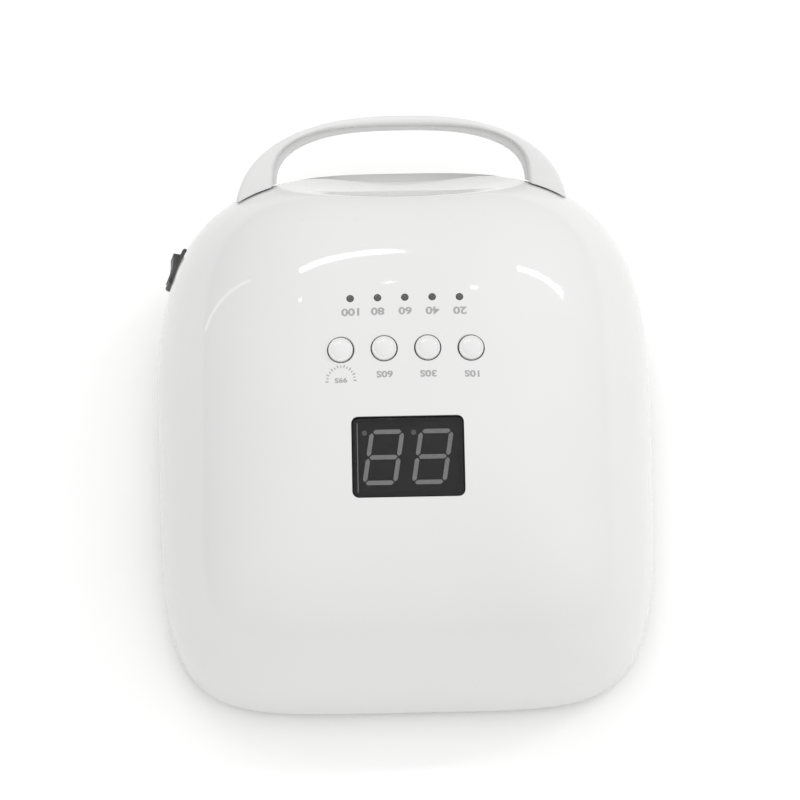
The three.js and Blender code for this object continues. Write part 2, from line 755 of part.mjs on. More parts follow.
addPart("rocker_housing", finish.black(), rockerHousing());
addPart("rocker", finish.black(), rocker());

// ---------------------------------------------------------------- charging socket

function chargeJack() {
  const barrel = rod(JACK.radius, [-13, -0.5], { frame: jackFrame, sides: 20 });
  const block = box([-4.5, 4.5], [-5, 5], [-14, -3.8], jackFrame);
  const bore = rod(2.8, [-9.5, 1], { frame: jackFrame, sides: 16 });
  const pin = rod(0.9, [-10, -2.2], { frame: jackFrame, sides: 10 });
  return barrel.add(block).subtract(bore).add(pin);
}

addPart("charge_jack", finish.black(), chargeJack());

// ---------------------------------------------------------------- battery

CELL_STARTS.forEach(([x, z], index) => {
  const along = frameAt(
    new THREE.Vector3(x, CELL.y, z),
    new THREE.Vector3(0, 1, 0),
    new THREE.Vector3(0, 0, 1),
    new THREE.Vector3(1, 0, 0),
  );
  const end = CELL.length;
  const outline = [[0, 0], [8.4, 0], [CELL.radius, 0.6], [CELL.radius, end - 1.6], [8.2, end - 1]];
  outline.push([3, end - 1], [3, end], [0, end]);
  addPart(`battery_cell_${index + 1}`, finish.cell(), turned(outline, { frame: along, sides: 14 }));
});

function batteryCradle() {
  const halfLength = CELL.length + 1.2;
  const halfWidth = CELL.radius + GAP;
  const outside = box(
    [-halfLength - 1, halfLength + 1],
    [CELL.y - halfWidth - 1.2, CELL.y + halfWidth + 1.2],
    [FRAME_TOP + GAP, CRADLE_TOP],
  );
  const inside = box(
    [-halfLength, halfLength],
    [CELL.y - halfWidth, CELL.y + halfWidth],
    [FRAME_TOP + GAP + 1.4, FAR],
  );
  return outside.subtract(inside);
}

addPart("battery_cradle", finish.black(), batteryCradle());

export default lamp;
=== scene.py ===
# The looks of a cordless nail lamp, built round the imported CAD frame. Lengths below are in
# millimetres in the hull's own frame, which mesh_object turns into metres in the row frame.

from math import atan2, cos, pi, radians, sin, tan

import bmesh
import bpy
import numpy as np
from mathutils import Matrix, Vector
from mathutils.bvhtree import BVHTree
from mathutils.interpolate import poly_3d_calc


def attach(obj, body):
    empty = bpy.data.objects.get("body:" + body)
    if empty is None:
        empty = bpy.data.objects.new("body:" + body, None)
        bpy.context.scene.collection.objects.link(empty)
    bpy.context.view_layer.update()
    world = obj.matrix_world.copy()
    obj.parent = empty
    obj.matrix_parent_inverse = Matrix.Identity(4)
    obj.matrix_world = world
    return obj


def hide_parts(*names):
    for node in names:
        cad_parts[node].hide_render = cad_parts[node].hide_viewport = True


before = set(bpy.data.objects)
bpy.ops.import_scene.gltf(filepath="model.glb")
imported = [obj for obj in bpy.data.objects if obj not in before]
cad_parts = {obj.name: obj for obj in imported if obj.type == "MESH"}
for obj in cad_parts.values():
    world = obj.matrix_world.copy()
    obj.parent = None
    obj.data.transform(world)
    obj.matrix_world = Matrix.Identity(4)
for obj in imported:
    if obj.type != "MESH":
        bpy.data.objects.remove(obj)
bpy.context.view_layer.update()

# ---------------------------------------------------------------- dimensions shared with the CAD

MM = 0.001
HULL_Y = 2.975  # where the hull's own origin lies in the row frame
HULL_HALF_WIDTH = 92
HULL_FRONT = 99
HULL_REAR = 98
FRONT_ROUNDNESS = 3.3
REAR_ROUNDNESS = 5.2
WIDENING = 0.05
CROWN_ROUNDNESS = 2.7
HULL_HEIGHT = 95
FALL = 0.2
SKIN = 0.09  # how far the smooth skin lies inside the CAD hull's own surface
WALL = 2.6
GAP = 0.3
BODY_BOTTOM = 5.3
TRAY_BOTTOM = 2
TRAY_TOP = 5

SCOOP_CENTRE = np.array([0, -118.7, 118.9])
SCOOP_RADII = np.array([125, 60, 60])
SCOOP_EDGE = 1.3  # how softly the scoop runs into the crown

TUNNEL_HALF_WIDTH = 60
TUNNEL_HEIGHT = 64
TUNNEL_CORNER = 12
TUNNEL_DIAGONAL = 97.5  # x + z along the sloping faces
TUNNEL_END = 62
LINER_WALL = 2
RIM_WIDTH = 5.7
RIM_DEPTH = 3

HANDLE_TILT = 28
HANDLE_Y = -59.8
HANDLE_Z = 70.15
LEG_FOOT = -2

KEYS = ["10", "30", "60", "99"]
KEY_Y = -3.2
KEY_PITCH = 14.8
KEY_TILT = 10.8
LAMP_Y = -21.1
LAMP_PITCH = 9.35

DISPLAY_Y = 33.1
DISPLAY_TILT = 18.5
DISPLAY_WIDTH = 37.4
DISPLAY_LENGTH = 26.8
DISPLAY_CORNER = 2

SWITCH_Y = -62.5
SWITCH_Z = 44.8
SWITCH_TURN = 20.8
SWITCH_LEAN = 15.6
BEZEL_LENGTH = 15.4
BEZEL_WIDTH = 10.8
ROCKER_PIVOT = -1.4
ROCKER_TILT = 12

JACK_Y = 30
JACK_Z = 17
JACK_RADIUS = 3.9

FEET = [(62, -60), (-62, -60), (66, 70), (-66, 70)]
FAR = 130  # past every side of the hull


# ---------------------------------------------------------------- materials


def mapped(tree, value, start, end, low, high):
    """A value that runs from start to end while the given one runs from low to high."""
    node = tree.nodes.new("ShaderNodeMapRange")
    for socket, number in (("From Min", low), ("From Max", high), ("To Min", start), ("To Max", end)):
        node.inputs[socket].default_value = number
    tree.links.new(value, node.inputs["Value"])
    return node.outputs["Result"]


class Nodes:
    """A material's node tree, with short calls for the nodes used here."""

    def __init__(self, name):
        self.material = bpy.data.materials.new(name)
        self.material.use_nodes = True
        self.tree = self.material.node_tree
        self.shader = self.tree.nodes["Principled BSDF"]
        self.place = self.tree.nodes.new("ShaderNodeTexCoord").outputs["Object"]

    def link(self, output, socket):
        self.tree.links.new(output, socket)

    def node(self, kind, **settings):
        made = self.tree.nodes.new(kind)
        for key, value in settings.items():
            setattr(made, key, value)
        return made

    def stretched(self, scale):
        mapping = self.node("ShaderNodeMapping")
        mapping.inputs["Scale"].default_value = scale
        self.link(self.place, mapping.inputs["Vector"])
        return mapping.outputs["Vector"]

    def noise(self, scale, detail=2.0, vector=None):
        texture = self.node("ShaderNodeTexNoise")
        texture.inputs["Scale"].default_value = scale
        texture.inputs["Detail"].default_value = detail
        self.link(self.place if vector is None else vector, texture.inputs["Vector"])
        return texture.outputs["Fac"]

    def ranged(self, value, start, end, low=0.3, high=0.7):
        return mapped(self.tree, value, start, end, low, high)

    def blended(self, factor, first, second):
        mix = self.node("ShaderNodeMix", data_type="RGBA")
        self.link(factor, mix.inputs["Factor"])
        for socket, colour in ((mix.inputs["A"], first), (mix.inputs["B"], second)):
            if isinstance(colour, bpy.types.NodeSocket):
                self.link(colour, socket)
            else:
                socket.default_value = (*colour, 1)
        return mix.outputs["Result"]

    def coloured(self, value, first, second):
        tone = self.blended(self.ranged(value, 0, 1), first, second)
        self.link(tone, self.shader.inputs["Base Color"])

    def roughened(self, value, smooth, rough):
        self.link(self.ranged(value, smooth, rough), self.shader.inputs["Roughness"])

    def bumped(self, value, distance, strength=1.0, rounding=0.0):
        bump = self.node("ShaderNodeBump")
        bump.inputs["Strength"].default_value = strength
        bump.inputs["Distance"].default_value = distance
        self.link(value, bump.inputs["Height"])
        if rounding:
            bevel = self.node("ShaderNodeBevel", samples=4)
            bevel.inputs["Radius"].default_value = rounding
            self.link(bevel.outputs["Normal"], bump.inputs["Normal"])
        self.link(bump.outputs["Normal"], self.shader.inputs["Normal"])


def grey(level):
    return (level, level, level * 0.995)


def moulded_plastic(name, colours, roughness, grain=900, grain_depth=2e-6, rounding=0.0, gloss=1.46):
    """Plastic with slow cloudiness in its colour and gloss, and a fine moulded grain."""
    nodes = Nodes(name)
    cloud = nodes.noise(14, 3)
    fine = nodes.noise(grain, 3)
    flecks = nodes.ranged(nodes.noise(2600, 1), 0, 0.35, 0.62, 0.8)
    tone = nodes.blended(nodes.ranged(cloud, 0, 1), *colours)
    darker = tuple(0.93 * channel for channel in colours[0])
    nodes.link(nodes.blended(flecks, tone, darker), nodes.shader.inputs["Base Color"])
    nodes.roughened(nodes.noise(55, 4), *roughness)
    nodes.shader.inputs["IOR"].default_value = gloss
    nodes.bumped(fine, grain_depth, 1.0, rounding)
    return nodes.material


def rubber_material():
    nodes = Nodes("rubber")
    nodes.coloured(nodes.noise(60, 4), grey(0.018), grey(0.035))
    nodes.roughened(nodes.noise(400), 0.7, 0.92)
    nodes.bumped(nodes.noise(1500, 4), 3e-5, 0.8)
    return nodes.material


def steel_material():
    nodes = Nodes("zinc_steel")
    brushed = nodes.noise(900, 3, nodes.stretched((1, 0.08, 0.3)))
    nodes.coloured(brushed, grey(0.46), grey(0.62))
    nodes.shader.inputs["Metallic"].default_value = 1
    nodes.roughened(nodes.noise(160, 4), 0.22, 0.42)
    nodes.bumped(brushed, 6e-6)
    return nodes.material


def board_material(name, mask_colours, trace_colour):
    """A circuit board: solder mask over copper tracks, with tinned pads."""
    nodes = Nodes(name)
    tracks = nodes.node("ShaderNodeTexBrick", offset=0.5)
    tracks.inputs["Scale"].default_value = 260
    tracks.inputs["Mortar Size"].default_value = 0.03
    tracks.inputs["Brick Width"].default_value = 1.4
    tracks.inputs["Row Height"].default_value = 0.35
    nodes.link(nodes.place, tracks.inputs["Vector"])
    pads = nodes.node("ShaderNodeTexVoronoi")
    pads.inputs["Scale"].default_value = 330
    nodes.link(nodes.place, pads.inputs["Vector"])
    mask = nodes.blended(nodes.ranged(nodes.noise(30, 3), 0, 1), *mask_colours)
    tracked = nodes.blended(tracks.outputs["Fac"], mask, trace_colour)
    spots = nodes.ranged(pads.outputs["Distance"], 1, 0, 0.1, 0.16)
    nodes.link(nodes.blended(spots, tracked, grey(0.55)), nodes.shader.inputs["Base Color"])
    nodes.link(nodes.ranged(spots, 0.38, 0.25, 0, 1), nodes.shader.inputs["Roughness"])
    nodes.bumped(tracks.outputs["Fac"], 3e-5)
    return nodes.material


def cell_material():
    nodes = Nodes("cell_wrap")
    nodes.coloured(nodes.noise(35, 3), (0.035, 0.13, 0.33), (0.05, 0.17, 0.4))
    wrinkles = nodes.noise(240, 4, nodes.stretched((0.25, 1, 1)))
    nodes.roughened(wrinkles, 0.22, 0.4)
    nodes.bumped(wrinkles, 4e-5)
    return nodes.material


def led_material():
    """Phosphor under a clear dome, its colour varying in fine spots."""
    nodes = Nodes("led_lens")
    spots = nodes.noise(1300, 3)
    nodes.coloured(spots, (0.74, 0.69, 0.46), (0.8, 0.78, 0.66))
    nodes.roughened(spots, 0.06, 0.14)
    nodes.shader.inputs["Subsurface Weight"].default_value = 0.2
    nodes.shader.inputs["Subsurface Scale"].default_value = 0.001
    nodes.shader.inputs["Coat Weight"].default_value = 0.7
    nodes.bumped(spots, 4e-6)
    return nodes.material


def window_material():
    """Smoked acrylic, dark but clear enough to show the module's strokes under it."""
    nodes = Nodes("smoked_acrylic")
    cloud = nodes.noise(40, 3)
    nodes.coloured(cloud, grey(0.006), grey(0.009))
    nodes.link(nodes.ranged(cloud, 0.5, 0.54), nodes.shader.inputs["Alpha"])
    nodes.roughened(nodes.noise(90, 4), 0.03, 0.07)
    nodes.shader.inputs["IOR"].default_value = 1.49
    nodes.bumped(nodes.noise(300), 1.5e-6)
    return nodes.material


def module_material():
    """The display module's matt black face."""
    nodes = Nodes("module_face")
    nodes.coloured(nodes.noise(300, 4), grey(0.012), grey(0.02))
    nodes.roughened(nodes.noise(700), 0.5, 0.65)
    nodes.shader.inputs["Specular IOR Level"].default_value = 0.2
    nodes.bumped(nodes.noise(1800), 6e-6)
    return nodes.material


def stroke_material(name, dark, pale):
    """An unlit display stroke: a milky diffuser with uneven density."""
    nodes = Nodes(name)
    nodes.coloured(nodes.noise(900, 3), grey(dark), grey(pale))
    nodes.roughened(nodes.noise(800), 0.4, 0.55)
    nodes.bumped(nodes.noise(1400), 4e-6)
    return nodes.material


def ink_material():
    """Pad-printed ink, a little uneven in its density."""
    nodes = Nodes("printed_ink")
    nodes.coloured(nodes.noise(1500, 3), grey(0.3), grey(0.38))
    nodes.roughened(nodes.noise(900), 0.3, 0.5)
    nodes.bumped(nodes.noise(2400), 3e-6)
    return nodes.material


SHELL = moulded_plastic("gloss_white_shell", (grey(0.695), grey(0.715)), (0.03, 0.06), 420, 1e-6)
INSIDE = moulded_plastic("shell_inside", (grey(0.64), grey(0.68)), (0.35, 0.5), 1200, 8e-6, 0.0004)
SATIN_WHITES = (grey(0.68), grey(0.705))
HANDLE = moulded_plastic("satin_white_handle", SATIN_WHITES, (0.24, 0.34), 1500, 5e-6, 0.0003)
KEY = moulded_plastic("key_white", (grey(0.7), grey(0.725)), (0.1, 0.17), 1500, 3e-6)
LINER = moulded_plastic("liner_grey", (grey(0.52), grey(0.56)), (0.26, 0.4), 1300, 1e-5, 0.0006)
TRAY = moulded_plastic("tray_white", (grey(0.66), grey(0.7)), (0.34, 0.48), 1100, 1.2e-5, 0.0004)
BLACK = moulded_plastic("black_plastic", (grey(0.022), grey(0.034)), (0.3, 0.46), 1500, 1.2e-5, 0.0003)
ROCKER = moulded_plastic("rocker_plastic", (grey(0.026), grey(0.038)), (0.36, 0.48), 1500, 8e-6, 0.0003)
LAMP = moulded_plastic("indicator_lens", (grey(0.075), grey(0.1)), (0.12, 0.22), 1500, 3e-6)
RUBBER = rubber_material()
STEEL = steel_material()
GREENS = ((0.01, 0.1, 0.035), (0.014, 0.14, 0.05))
GREEN_BOARD = board_material("circuit_board", GREENS, (0.04, 0.22, 0.09))
WHITE_BOARD = board_material("led_board", (grey(0.7), grey(0.76)), grey(0.6))
CELL = cell_material()
LED = led_material()
WINDOW = window_material()
MODULE = module_material()
STROKE = stroke_material("display_stroke", 0.56, 0.68)
POINT = stroke_material("display_point", 0.24, 0.3)
INK = ink_material()


# ---------------------------------------------------------------- meshes


def frame_at(origin, x_axis, y_axis, z_axis):
    """A local frame as a 4 by 4 matrix with the axes as its columns."""
    made = Matrix((x_axis, y_axis, z_axis)).transposed().to_4x4()
    made.translation = Vector(origin)
    return made


HULL_FRAME = Matrix()


def placed(points, where):
    """Points of a local frame in the hull's frame."""
    matrix = np.array(where)
    return np.asarray(points, float) @ matrix[:3, :3].T + matrix[:3, 3]


def mesh_object(name, points, faces, materials):
    """An object in metres, in the row frame, from points in the hull's frame."""
    scaled = (np.asarray(points, float) + (0, HULL_Y, 0)) * MM
    mesh = bpy.data.meshes.new(name)
    mesh.from_pydata(scaled.tolist(), [], faces)
    for material in materials:
        mesh.materials.append(material)
    made = bpy.data.objects.new(name, mesh)
    bpy.context.scene.collection.objects.link(made)
    return made


def shaded(made, angle):
    """Shades an object smooth, with sharp edges where faces meet at more than an angle."""
    made.data.shade_smooth()
    made.data.set_sharp_from_angle(angle=radians(angle))


def tidied(made, angle=35):
    """Makes the faces point outwards and shades them smooth up to an angle."""
    edit = bmesh.new()
    edit.from_mesh(made.data)
    bmesh.ops.recalc_face_normals(edit, faces=edit.faces)
    edit.to_mesh(made.data)
    edit.free()
    shaded(made, angle)
    return made


def merged(target, *others):
    """Adds other objects' meshes to one with the same material slots."""
    edit = bmesh.new()
    edit.from_mesh(target.data)
    for other in others:
        edit.from_mesh(other.data)
        bpy.data.objects.remove(other)
    edit.to_mesh(target.data)
    edit.free()
    return tidied(target)


def settled(made, body, slot, *nodes):
    """Rides a piece on its body and hides the CAD nodes it stands for."""
    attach(made, body)
    if nodes:
        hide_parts(*nodes)
    return made


def joined(shapes):
    """Several (points, faces) shapes as one."""
    points = []
    faces = []
    for shape_points, shape_faces in shapes:
        start = len(points)
        points.extend(np.asarray(shape_points, float).tolist())
        faces.extend([[start + corner for corner in face] for face in shape_faces])
    return points, faces


def inlay(shapes, materials, material_index):
    """An object to merge into one with the same materials, all of it in one of them."""
    made = mesh_object("inlay", *joined(shapes), materials)
    for face in made.data.polygons:
        face.material_index = material_index
    return made


def loft(rings, open_ends=False):
    """Quads between rings of equal length, with a face over each end ring."""
    count = len(rings[0])
    points = np.concatenate([np.asarray(ring, float) for ring in rings])
    faces = []
    for level in range(len(rings) - 1):
        for step in range(count):
            following = (step + 1) % count
            a, b = level * count + step, level * count + following
            faces.append([a, b, b + count, a + count])
    if not open_ends:
        last = (len(rings) - 1) * count
        faces.append(list(range(count))[::-1])
        faces.append([last + step for step in range(count)])
    return points, faces


def circle(radius, z, sides, x=0.0, y=0.0):
    angles = np.arange(sides) * 2 * pi / sides
    return np.stack([x + radius * np.cos(angles), y + radius * np.sin(angles), np.full(sides, z)], -1)


def turned(profile, where, sides=32, x=0.0, y=0.0):
    """A solid of revolution round the local z: profile is radius and z, from axis to axis."""
    (_, first), *middle, (_, last) = profile
    rings = [circle(radius, z, sides, x, y) for radius, z in middle]
    points, faces = loft(rings, open_ends=True)
    low = len(points)
    points = np.concatenate([points, [[x, y, first]], [[x, y, last]]])
    top = len(points) - 2 - sides
    for step in range(sides):
        following = (step + 1) % sides
        faces.append([low, following, step])
        faces.append([low + 1, top + step, top + following])
    return placed(points, where), faces


def rounded_rectangle(width, length, corner, inset=0.0, steps=6):
    """A rounded rectangle's outline, moved in by an inset."""
    points = []
    radius = max(corner - inset, 0.02)
    for sx, sy, start in ((1, 1, 0), (-1, 1, 90), (-1, -1, 180), (1, -1, 270)):
        for step in range(steps + 1):
            angle = radians(start + 90 * step / steps)
            x = sx * (width / 2 - inset - radius) + radius * cos(angle)
            y = sy * (length / 2 - inset - radius) + radius * sin(angle)
            points.append((x, y))
    return points


def raised(outline, z):
    return [(x, y, z) for x, y in outline]


def prism(outline, low, high, where=HULL_FRAME):
    """A solid with one outline from low to high along the local z."""
    points, faces = loft([raised(outline, low), raised(outline, high)])
    return placed(points, where), faces


def box(x_range, y_range, z_range, where=HULL_FRAME):
    (x0, x1), (y0, y1) = x_range, y_range
    return prism([(x0, y0), (x1, y0), (x1, y1), (x0, y1)], *z_range, where)


def softened_box(size, centre, radius, where):
    """A box with rounded corners in plan and rounded edges above and below."""
    width, length, height = size
    rings = []
    for depth, inset in ((0, radius), (0.3 * radius, 0.3 * radius), (radius, 0)):
        outline = rounded_rectangle(width, length, 1.5 * radius, inset, 4)
        rings.append(raised(outline, depth - height / 2))
    upper = [[(x, y, -z) for x, y, z in ring] for ring in reversed(rings)]
    points, faces = loft(rings + upper)
    return placed(points + np.array(centre), where), faces


def carved(made, steps):
    """Applies boolean steps in turn and removes the cutting objects."""
    for operation, tool in steps:
        modifier = made.modifiers.new("carve", "BOOLEAN")
        modifier.operation = operation
        modifier.object = tool
        modifier.solver = "MANIFOLD"
        modifier.material_mode = "TRANSFER"
    graph = bpy.context.evaluated_depsgraph_get()
    mesh = bpy.data.meshes.new_from_object(made.evaluated_get(graph), depsgraph=graph)
    made.modifiers.clear()
    made.data = mesh
    for _, tool in steps:
        bpy.data.objects.remove(tool)
    return made


def cutter(shape, material):
    """A shape for carved, whose cut faces take its material."""
    return tidied(mesh_object("cutter", *shape, [material]))


# ---------------------------------------------------------------- the hull's surface


def hull_points(inset, bearing, climb):
    """Points on the hull, moved in by inset, as the CAD has them."""
    c, s = np.cos(bearing), np.sin(bearing)
    power = np.where(s < 0, FRONT_ROUNDNESS, REAR_ROUNDNESS)
    reach = np.where(s < 0, HULL_FRONT, HULL_REAR) - inset
    side = np.abs(c / (HULL_HALF_WIDTH - inset)) ** power
    end = np.abs(s / reach) ** power
    radius = (side + end) ** (-1 / power)
    plan_y = radius * s
    plan_x = radius * c * (1 - WIDENING * plan_y / 100)
    across = np.clip(np.cos(climb), 0, 1)
    upward = np.clip(np.sin(climb), 0, 1)
    scale = (across**CROWN_ROUNDNESS + upward**CROWN_ROUNDNESS) ** (-1 / CROWN_ROUNDNESS)
    out = across * scale
    up = upward * scale * (HULL_HEIGHT - inset)
    return np.stack([out * plan_x, out * plan_y, up * (1 - FALL * out * plan_y / 100)], -1)


def surface_normals(surface, bearing, climb):
    """Outward normals from small steps along a surface."""
    step = 2e-4
    middle = np.clip(climb, step, pi / 2 - 2 * step)
    around = surface(bearing + step, middle) - surface(bearing - step, middle)
    upward = surface(bearing, middle + step) - surface(bearing, middle - step)
    normals = np.cross(around, upward)
    return normals / np.linalg.norm(normals, axis=-1, keepdims=True)


def plain_surface(inset):
    return lambda bearing, climb: hull_points(inset, bearing, climb)


def scooped_surface(bearing, climb):
    """The hull with the finger scoop pressed into it, along the hull's own normals."""
    surface = plain_surface(SKIN)
    points = surface(bearing, climb)
    normals = surface_normals(surface, bearing, climb)
    start = (points - SCOOP_CENTRE) / SCOOP_RADII
    ray = normals / SCOOP_RADII
    a = (ray * ray).sum(-1)
    b = (start * ray).sum(-1)
    c = (start * start).sum(-1) - 1
    root = b * b - a * c
    depth = np.where(root > 0, (b + np.sqrt(np.abs(root))) / a, -1000)
    soft = (depth + np.sqrt(depth * depth + SCOOP_EDGE**2)) / 2
    return points - normals * soft[..., None]


def hull_grid(around, climbs):
    """The bearing and the climb of each grid point below the crown."""
    return np.meshgrid(np.arange(around) * 2 * pi / around, np.arange(climbs) * pi / 2 / climbs)


def hull_shape(surface, around, climbs):
    """A closed mesh of the hull over its flat foot, from the foot ring to the crown."""
    rings = surface(*hull_grid(around, climbs))
    crown = surface(np.zeros(1), np.full(1, pi / 2))
    points = np.concatenate([rings.reshape(-1, 3), crown, [[0, 0, 0]]])
    faces = loft(list(rings), open_ends=True)[1]
    top = (climbs - 1) * around
    crown_index = climbs * around
    for step in range(around):
        following = (step + 1) % around
        faces.append([top + step, top + following, crown_index])
        faces.append([following, step, crown_index + 1])
    return points, faces


def crown_height(x, y):
    """The height of the hull's surface over points of the plan."""
    x, y = np.asarray(x, float), np.asarray(y, float)
    power = np.where(y < 0, FRONT_ROUNDNESS, REAR_ROUNDNESS)
    reach = np.where(y < 0, HULL_FRONT, HULL_REAR)
    out = np.full(np.broadcast(x, y).shape, 0.5)
    for _ in range(50):
        widened = HULL_HALF_WIDTH * (1 - WIDENING * y / out / 100)
        following = (np.abs(x / widened) ** power + np.abs(y / reach) ** power) ** (1 / power)
        out = (out + following) / 2
    remaining = np.clip(1 - out**CROWN_ROUNDNESS, 0, 1)
    return remaining ** (1 / CROWN_ROUNDNESS) * HULL_HEIGHT * (1 - FALL * y / 100)


def on_crown(points, out=0.0):
    """Points of the plan laid on the crown and lifted by out along its normal."""
    x, y = np.asarray(points, float).T
    step = 0.05
    slope_x = (crown_height(x + step, y) - crown_height(x - step, y)) / (2 * step)
    slope_y = (crown_height(x, y + step) - crown_height(x, y - step)) / (2 * step)
    normals = np.stack([-slope_x, -slope_y, np.ones_like(x)], -1)
    normals /= np.linalg.norm(normals, axis=-1, keepdims=True)
    base = np.stack([x, y, crown_height(x, y) - SKIN], -1)
    return base + normals * np.reshape(out, (-1, 1))


def hull_side(y, z):
    """How far out in x the hull's side is at a place along it and a height."""
    inner, outer = 0.0, HULL_HALF_WIDTH * 1.04
    for _ in range(40):
        middle = (inner + outer) / 2
        if crown_height(middle, y) > z:
            inner = middle
        else:
            outer = middle
    return inner


def tilted_frame(x, y, tilt):
    """A frame on the crown that tips towards +Y."""
    angle = radians(tilt)
    origin = (x, y, float(crown_height(x, y)))
    return frame_at(origin, (1, 0, 0), (0, cos(angle), -sin(angle)), (0, sin(angle), cos(angle)))


def tunnel_outline(distance, floor=-20.0, steps=8):
    """The tunnel's section with rounded shoulders, moved out by a distance, as (x, z)."""
    lean = TUNNEL_CORNER * tan(pi / 8)
    low = (TUNNEL_HALF_WIDTH - TUNNEL_CORNER, TUNNEL_DIAGONAL - TUNNEL_HALF_WIDTH - lean)
    high = (TUNNEL_DIAGONAL - TUNNEL_HEIGHT - lean, TUNNEL_HEIGHT - TUNNEL_CORNER)
    radius = TUNNEL_CORNER + distance
    half = [(TUNNEL_HALF_WIDTH + distance, floor)]
    for centre, start in ((low, 0), (high, 45)):
        for step in range(steps + 1):
            angle = radians(start + 45 * step / steps)
            half.append((centre[0] + radius * cos(angle), centre[1] + radius * sin(angle)))
    return half + [(-x, z) for x, z in reversed(half)]


def tunnel_loft(levels):
    """A solid along y through (distance, y) levels of the tunnel's section."""
    rings = [[(x, y, z) for x, z in tunnel_outline(distance)] for distance, y in levels]
    return loft(rings)


# x across, y up the handle's plane towards the front, z down through its depth
tilt = radians(HANDLE_TILT)
handle_frame = frame_at(
    (0, HANDLE_Y, HANDLE_Z),
    (1, 0, 0),
    (0, -cos(tilt), sin(tilt)),
    (0, -sin(tilt), -cos(tilt)),
)

# x along the switch towards the back, y up, z out of the hull
turn, lean = radians(SWITCH_TURN), radians(SWITCH_LEAN)
switch_out = Vector((cos(lean) * cos(turn), -cos(lean) * sin(turn), sin(lean)))
switch_along = Vector((sin(turn), cos(turn), 0))
switch_frame = frame_at(
    (hull_side(SWITCH_Y, SWITCH_Z), SWITCH_Y, SWITCH_Z),
    switch_along,
    switch_out.cross(switch_along),
    switch_out,
)
jack_frame = frame_at((hull_side(JACK_Y, JACK_Z), JACK_Y, JACK_Z), (0, 1, 0), (0, 0, 1), (1, 0, 0))
display_frame = tilted_frame(0, DISPLAY_Y, DISPLAY_TILT)
key_frames = [tilted_frame((index - 1.5) * KEY_PITCH, KEY_Y, KEY_TILT) for index in range(4)]
lamp_frames = [tilted_frame((index - 2) * LAMP_PITCH, LAMP_Y, KEY_TILT) for index in range(5)]


# ---------------------------------------------------------------- outer shell


def scoop_solid(growth):
    """The scoop's ellipsoid, grown by a length, as a closed mesh."""
    rings = []
    for level in range(1, 24):
        angle = pi * level / 24
        rings.append(circle(sin(angle), -cos(angle), 48))
    points, faces = loft(rings)
    return points * (SCOOP_RADII + growth) + SCOOP_CENTRE, faces


def fitted_normals(made, surface, around, climbs, skin):
    """Gives the faces of one material the exact surface's normals at their corners."""
    points, faces = hull_shape(surface, around, climbs)
    normals = surface_normals(surface, *hull_grid(around, climbs)).reshape(-1, 3)
    crown = normals[-around:].mean(0)
    normals = np.concatenate([normals, [crown], [[0, 0, -1]]])
    scaled = (points + (0, HULL_Y, 0)) * MM
    tree = BVHTree.FromPolygons(scaled.tolist(), faces)
    mesh = made.data
    shaded(made, 35)
    found = {}
    custom = [(0, 0, 0)] * len(mesh.loops)
    skin_index = mesh.materials.find(skin.name)
    for face in mesh.polygons:
        if face.material_index != skin_index:
            continue
        for loop_index in face.loop_indices:
            vertex = mesh.loops[loop_index].vertex_index
            if vertex not in found:
                location, _, index, _ = tree.find_nearest(mesh.vertices[vertex].co)
                corners = faces[index]
                weights = poly_3d_calc([Vector(scaled[corner]) for corner in corners], location)
                blend = sum(weight * normals[corner] for weight, corner in zip(weights, corners))
                found[vertex] = tuple(blend / np.linalg.norm(blend))
            custom[loop_index] = found[vertex]
    mesh.normals_split_custom_set(custom)


def shell_cutters():
    """The shapes of the tunnel, the display window, the switch seat and each round hole."""
    window = rounded_rectangle(DISPLAY_WIDTH + 0.6, DISPLAY_LENGTH + 0.6, DISPLAY_CORNER + GAP)
    shapes = [
        tunnel_loft([(LINER_WALL + GAP, -FAR), (LINER_WALL + GAP, TUNNEL_END + LINER_WALL + GAP)]),
        prism(window, -8, 8, display_frame),
        prism(rounded_rectangle(BEZEL_LENGTH + 0.8, BEZEL_WIDTH + 0.8, 1.7), -1.2, 12, switch_frame),
        box((-7.1, 7.1), (-4.9, 4.9), (-12, 12), switch_frame),
        turned([(0, -12), (4.2, -12), (4.2, -0.6), (4.7, 0.1), (4.7, 12), (0, 12)], jack_frame, 48),
    ]
    hole = [(0, -6), (4.62, -6), (4.62, -0.3), (4.66, -0.14), (4.74, -0.03)]
    hole += [(4.85, 0.04), (4.85, 6), (0, 6)]
    shapes += [turned(hole, where, 64) for where in key_frames]
    hole = [(0, -6), (1.3, -6), (1.3, -0.16), (1.34, -0.05), (1.42, 0.02), (1.42, 4), (0, 4)]
    shapes += [turned(hole, where, 32) for where in lamp_frames]
    return shapes


def outer_shell():
    """The glossy hood: a hollow hull, cut by the tunnel's mouth, the holes and its open foot."""
    around, climbs = 440, 150
    made = mesh_object("outer_shell_skin", *hull_shape(scooped_surface, around, climbs), [SHELL])
    hollow = cutter(hull_shape(plain_surface(WALL), 120, 40), INSIDE)
    carved(hollow, [("DIFFERENCE", cutter(scoop_solid(WALL), INSIDE))])
    mouth = cutter(tunnel_loft([(RIM_WIDTH + GAP, -FAR), (RIM_WIDTH + GAP, -40)]), INSIDE)
    carved(mouth, [("DIFFERENCE", cutter(hull_shape(plain_surface(RIM_DEPTH + GAP), 200, 70), INSIDE))])
    below = cutter(box((-FAR, FAR), (-FAR, FAR), (-20, BODY_BOTTOM)), INSIDE)
    steps = [("DIFFERENCE", tool) for tool in (hollow, mouth, below)]
    steps += [("DIFFERENCE", cutter(shape, INSIDE)) for shape in shell_cutters()]
    carved(made, steps)
    fitted_normals(made, scooped_surface, around, climbs, SHELL)
    return settled(made, "housing", "shell", "outer_shell")


outer_shell()


